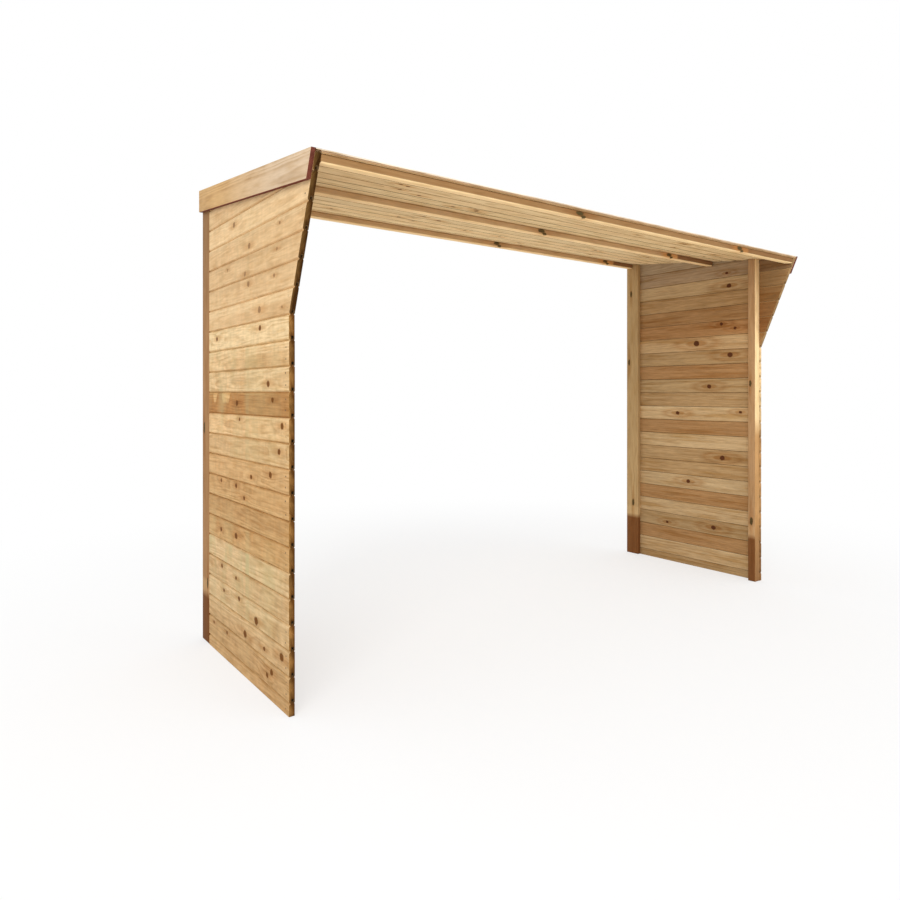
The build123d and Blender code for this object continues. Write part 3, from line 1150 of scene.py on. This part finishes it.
class LOGSTORE_OT_roof_boards(bpy.types.Operator):
    """Build the lapped roof boards"""

    bl_idname = "log_store.roof_boards"
    bl_label = "Roof Boards"

    def execute(self, context):
        sizes = context.scene.log_store_sizes
        colours = context.scene.log_store_colours
        # Sawn roofing pine: rough and matt, with the saw's marks across the grain. They are really
        # about 6 mm apart, and are drawn as coarse as they need to show.
        face = pine(
            "sawn_pine_roofing", colours.knot, 0.007, (0.6, 0.12, 0.5), 0.0007, 0.75,
            saw_pitch=0.0377, halo=((0.23, 0.75), (0.75, 0.0)),
        )
        ends = end_grain("sawn_pine_roofing_end", 0.003)
        saw_margin = 0.0001
        blank = roof_blank(sizes)
        for number, name in enumerate(roof_boards):
            draw = random.Random(name)
            board = copy_to_edit(blank, f"{name}_timber")
            start = number * roof_cover
            middle = start + 0.5 * roof_cover
            move_all(start * up_slope)
            for side in (-1, 1):
                cut((side * (outer_x - draw.uniform(0, 0.001)), 0, 0), side * x_axis, clear=True)
            # The outer boards' laps are sawn off, a hair inside so that no face is left on the cut.
            if number == len(roof_boards) - 1:
                cut(from_slope(0, roof_high.y + start - saw_margin, 0), up_slope, clear=True)
            if number == 0:
                cut(from_slope(0, roof_low.y + saw_margin, 0), -up_slope, clear=True)
            round_edges(board, sizes.board_arris, 1, 60)

            heart = from_slope(
                draw.uniform(*UP_THE_TREE), middle + draw.uniform(-0.02, 0.02),
                draw.choice((-1, 1)) * draw.uniform(0.02, 0.07),
            )
            knots = [
                (from_slope(draw.uniform(-1.4, 1.4), start + draw.uniform(0.2, 0.8) * roof_cover, 0),
                 draw.uniform(0.006, 0.012))
                for _ in range(KNOTS_PER_PIECE)
            ]
            flame = from_slope(draw.uniform(-1.2, 1.2), middle, 0)
            grows = draw.choice((-1, 1)) * x_axis
            rise, heartwood = draw.uniform(0, 4), draw.uniform(0.05, 0.09)
            lay_grain(board, grows, up_slope, heart, knots, flame, rise, (heartwood, 0.0, 0.0))
            stain(board, roof_board_stain(number, colours, draw))
            finish_piece(board, (face, ends), faces_along(x_axis), [name])
        remove_master(blank)
        return {"FINISHED"}


class LOGSTORE_OT_bargeboards(bpy.types.Operator):
    """Build the bargeboards that cover the ends of the roof boards"""

    bl_idname = "log_store.bargeboards"
    bl_label = "Bargeboards"

    def execute(self, context):
        sizes = context.scene.log_store_sizes
        colours = context.scene.log_store_colours
        # Planed facing board, the smoothest timber here: broad rings and no knots.
        face = pine("planed_pine_bargeboard", colours.knot, 0.010, (0.6, 0.06, 0.45), 0.0003, 0.58)
        ends = end_grain("sawn_pine_bargeboard_end", 0.004)
        fade_start, fade_end = 0.25, 0.9
        for side, way in (("right", 1), ("left", -1)):
            name = f"{side}_bargeboard"
            draw = random.Random(name)
            low, high = slope_box(name)
            board = start_slope_block(f"{name}_timber", low, high)
            cut(eaves, flare_way, clear=True)
            cut((0, back_y, 0), y_axis, clear=True)
            cut((0, front_y + fade_start, 0), y_axis)
            cut((0, front_y + fade_end, 0), y_axis)
            round_edges(board, sizes.trim_arris, 2, 50)

            middle = (low + high) / 2
            heart = from_slope(middle.x - way * 0.035, draw.uniform(*UP_THE_TREE), middle.z + 0.02)
            flame = from_slope(middle.x, 0.30, middle.z + 0.01)
            lay_grain(board, up_slope, off_slope, heart, (), flame, 4.0, (0.075, 0.0, 0.0))

            def colour_at(point, face):
                # Sawn ends are dark end grain; the undersides are painted dark as shade.
                if face.normal.dot(off_slope) < -0.6 or face.normal.y < -0.6:
                    return shade(colours.trim_end_and_underside_shade)
                share = (on_slope(point).y - fade_start) / (fade_end - fade_start)
                return shade(blend_colours(colours.trim_front, colours.trim_back, share))

            stain(board, colour_at)
            finish_piece(board, (face, ends), faces_along(y_axis, 0.8), [name])
        return {"FINISHED"}


# ---- nails --------------------------------------------------------------------------------------
# Where a board's two nails are across it, and how far the wall nails are from the front edge.
NAIL_SHARES = (0.27, 0.73)
NAIL_SET_BACK = 0.028
# Clear of the ground and of the bargeboards.
LOWEST_NAIL, BELOW_EAVES = 0.01, 0.09
PURLIN_NAILS_X = (-1.05, -0.525, 0.0, 0.525, 1.05)


def nail_blank(sizes):
    """A flat nail head at the origin, facing up: eased rim and a dish that the hammer left."""
    bpy.ops.object.select_all(action="DESELECT")
    depth = 0.002
    bpy.ops.mesh.primitive_cylinder_add(
        vertices=12, radius=sizes.nail_radius, depth=depth, location=(0, 0, sizes.nail_stand - depth / 2)
    )
    nail = bpy.context.active_object
    bpy.ops.object.transform_apply(location=True)
    bpy.ops.object.mode_set(mode="EDIT")
    select(nail, "faces", lambda face: face.normal.z > 0.9)
    bpy.ops.mesh.bevel(offset=0.0002, segments=1, affect="EDGES")
    select(nail, "faces", lambda face: face.normal.z > 0.9)
    bpy.ops.mesh.inset(thickness=0.0008)
    bpy.ops.transform.translate(value=(0, 0, -0.00012))
    bpy.ops.object.mode_set(mode="OBJECT")
    bpy.ops.object.shade_smooth_by_angle(angle=SMOOTH_BELOW)
    return nail


def wall_nail_places(side, sizes):
    """Two nails a board near the wall's front edge, about flush with its face."""
    way = 1 if side == "right" else -1
    flare = (front_y - edge_y) / (eaves.z - knee)
    for number, (bottom, top) in enumerate(wall_courses(sizes)):
        draw = random.Random(f"{side} wall nails {number}")
        for share in NAIL_SHARES:
            height = bottom + share * (top - bottom)
            if height < LOWEST_NAIL or height > eaves.z - BELOW_EAVES:
                continue
            edge_line = edge_y + max(0.0, height - knee) * flare + NAIL_SET_BACK
            yield Vector((
                way * (outer_x - 0.0004), edge_line + draw.uniform(-0.003, 0.003),
                height + draw.uniform(-0.003, 0.003),
            ))


def roof_nail_places():
    """Two nails a board over each wall, and one every half metre over each purlin."""
    sunk = 0.0001
    draw = random.Random("roof nails")
    for number in range(len(roof_boards)):
        for share in NAIL_SHARES:
            for way in (-1, 1):
                x = way * ((inner_x + outer_x) / 2 + draw.uniform(-0.002, 0.002))
                yield from_slope(x, (number + share) * roof_cover, sunk)
    for name in purlin_knots:
        low, high = slope_box(name)
        for x in PURLIN_NAILS_X:
            along = (low.y + high.y) / 2 + draw.uniform(-0.006, 0.006)
            yield from_slope(x + draw.uniform(-0.02, 0.02), along, sunk)


class LOGSTORE_OT_nails(bpy.types.Operator):
    """Set the nail heads in the walls and the roof"""

    bl_idname = "log_store.nails"
    bl_label = "Nails"

    def execute(self, context):
        sizes = context.scene.log_store_sizes
        steel = galvanised_steel_nail(context.scene.log_store_colours)
        blank = nail_blank(sizes)
        for name, facing, places in (
            ("roof_nails", off_slope, roof_nail_places()),
            ("right_wall_nails", x_axis, wall_nail_places("right", sizes)),
            ("left_wall_nails", -x_axis, wall_nail_places("left", sizes)),
        ):
            turn = facing.to_track_quat("Z", "Y").to_euler()
            heads = []
            for place in places:
                head = copy_piece(blank)
                head.location = place
                head.rotation_euler = turn
                heads.append(head)
            for head in heads:
                head.select_set(True)
            bpy.ops.object.join()
            row = context.active_object
            row.name = row.data.name = name
            bpy.ops.object.transform_apply(location=True, rotation=True, scale=True)
            finish_piece(row, (steel,), lambda face: 0, ())
        remove_master(blank)
        return {"FINISHED"}


# ---- stage --------------------------------------------------------------------------------------
# With the lamps, a colour renders about as it is written.
WORLD_LEVEL = 0.83


def seen_or_mirrored(add):
    """1 for what the camera sees straight, in a reflection or through glass, else 0."""
    seen = None
    for ray in ("Is Camera Ray", "Is Glossy Ray", "Is Transmission Ray"):
        share = add("LightPath", output=ray)
        if seen is not None:
            share = add("Math", (seen, share), operation="MAXIMUM")
        seen = share
    return seen


def stage_floor_material():
    """A matt white floor that fades to plain white far from the store, and keeps its shadow."""
    material, add = new_material("painted_studio_floor")
    place = add("TexCoord", output="Object")
    far = add("VectorMath", (place,), "Value", operation="LENGTH")
    fade = add("MapRange", (far, 1.2, 4.0, 0.6, 1.0), **SMOOTH)
    share = add("Math", (fade, seen_or_mirrored(add)), operation="MULTIPLY")
    paint = add("BsdfDiffuse", {"Color": grey(0.95)})
    white = add("Emission", {"Color": grey(1.0), "Strength": 1.0})
    mixed = add("MixShader", (share, paint, white))
    add("OutputMaterial", (mixed,))
    return material


def add_lamp(name, place, aim, size, level):
    """A square soft lamp whose light at the aim renders a facing surface at a level of its colour."""
    gap = Vector(aim) - Vector(place)
    bpy.ops.object.light_add(type="AREA", location=place, rotation=gap.to_track_quat("-Z", "Y").to_euler())
    lamp = bpy.context.active_object
    lamp.name = name
    lamp.data.size = size
    lamp.data.energy = level * math.pi**2 * gap.length_squared


class LOGSTORE_OT_stage(bpy.types.Operator):
    """Set up the floor, the lamps, the world and the camera"""

    bl_idname = "log_store.stage"
    bl_label = "Stage"

    def execute(self, context):
        bpy.ops.object.select_all(action="DESELECT")
        bpy.ops.mesh.primitive_plane_add(size=80.0, location=(0, 0, -0.0005))
        floor = context.active_object
        floor.name = "floor"
        bpy.ops.object.transform_apply(location=True)
        floor.data.materials.append(stage_floor_material())

        middle = (0, 0, 1.0)
        add_lamp("key", (-6.0, -5.0, 5.5), middle, 4.0, 0.34)
        add_lamp("fill", (3.5, -7.0, 2.2), middle, 5.0, 0.12)

        world = bpy.data.worlds.new("studio")
        world.use_nodes = True
        world.node_tree.nodes.clear()
        add = partial(add_node, world.node_tree)
        strength = add("MapRange", (seen_or_mirrored(add), 0.0, 1.0, WORLD_LEVEL, 1.0))
        sky = add("Background", {"Color": grey(1.0), "Strength": strength})
        add("OutputWorld", (sky,))
        context.scene.world = world

        # Level, from the open front's left corner, with a slightly wide lens.
        heading = math.radians(-36.245)
        bpy.ops.object.camera_add(
            location=(-2.4274, -2.6000, 1.0942), rotation=(math.radians(90), 0, heading)
        )
        camera = context.active_object
        camera.data.lens = 27.95
        camera.data.sensor_width = 36.0
        camera.data.shift_y = -0.0625
        context.scene.camera = camera
        context.scene.view_settings.view_transform = "Standard"
        return {"FINISHED"}


# ---- add-on -------------------------------------------------------------------------------------
class LOGSTORE_PT_panel(bpy.types.Panel):
    """Lists the log store's operators, sizes and colours"""

    bl_idname = "LOGSTORE_PT_panel"
    bl_label = "Log Store"
    bl_space_type = "VIEW_3D"
    bl_region_type = "UI"
    bl_category = "Log Store"

    def draw(self, context):
        for operator in operators:
            self.layout.operator(operator.bl_idname)
        for group in (context.scene.log_store_sizes, context.scene.log_store_colours):
            column = self.layout.column(align=True)
            for name in group.__annotations__:
                column.prop(group, name)


operators = (
    LOGSTORE_OT_wall_boards,
    LOGSTORE_OT_posts,
    LOGSTORE_OT_purlins,
    LOGSTORE_OT_roof_boards,
    LOGSTORE_OT_bargeboards,
    LOGSTORE_OT_nails,
    LOGSTORE_OT_stage,
)
classes = (LogStoreSizes, LogStoreColours, *operators, LOGSTORE_PT_panel)


def register():
    for each in classes:
        bpy.utils.register_class(each)
    bpy.types.Scene.log_store_sizes = bpy.props.PointerProperty(type=LogStoreSizes)
    bpy.types.Scene.log_store_colours = bpy.props.PointerProperty(type=LogStoreColours)


def unregister():
    del bpy.types.Scene.log_store_colours
    del bpy.types.Scene.log_store_sizes
    for each in reversed(classes):
        bpy.utils.unregister_class(each)


def main():
    register()
    bpy.ops.log_store.wall_boards()
    bpy.ops.log_store.posts()
    bpy.ops.log_store.purlins()
    bpy.ops.log_store.roof_boards()
    bpy.ops.log_store.bargeboards()
    bpy.ops.log_store.nails()
    bpy.ops.log_store.stage()


if __name__ == "__main__":
    main()
